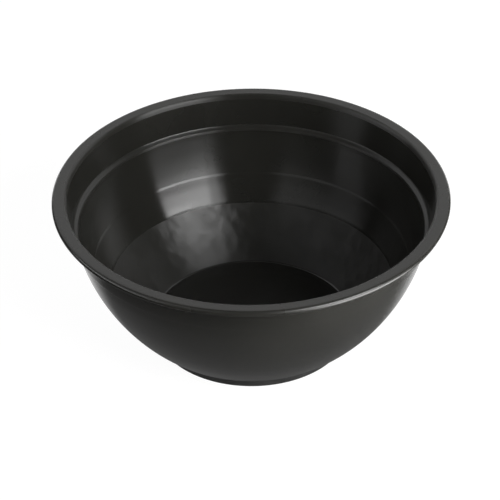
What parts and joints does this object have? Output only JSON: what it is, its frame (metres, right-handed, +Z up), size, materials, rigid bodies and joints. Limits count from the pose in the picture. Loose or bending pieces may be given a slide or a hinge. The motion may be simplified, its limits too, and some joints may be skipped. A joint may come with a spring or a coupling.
{
  "type": "hair color bowl",
  "caption": "Round black plastic bowl for mixing hair color, with a flat turned-down rim, a neck band above a stacking shoulder, a rounded wall and a rubber ring round its foot.",
  "frame": {"origin": "centre of the face that the bowl stands on, under its axis", "axes": "+Z up along the axis of revolution, towards the rim; X and Y are any two directions across, because the bowl is round"},
  "size_m": [0.15, 0.15, 0.0626],
  "materials": {
    "shell_plastic": "glossy black polypropylene, satin and scuffed on the lower inside",
    "ring_rubber": "matte black rubber"
  },
  "bodies": {
    "root": {"bowl_shell": "shell_plastic", "non_slip_ring": "ring_rubber"}
  },
  "joints": []
}
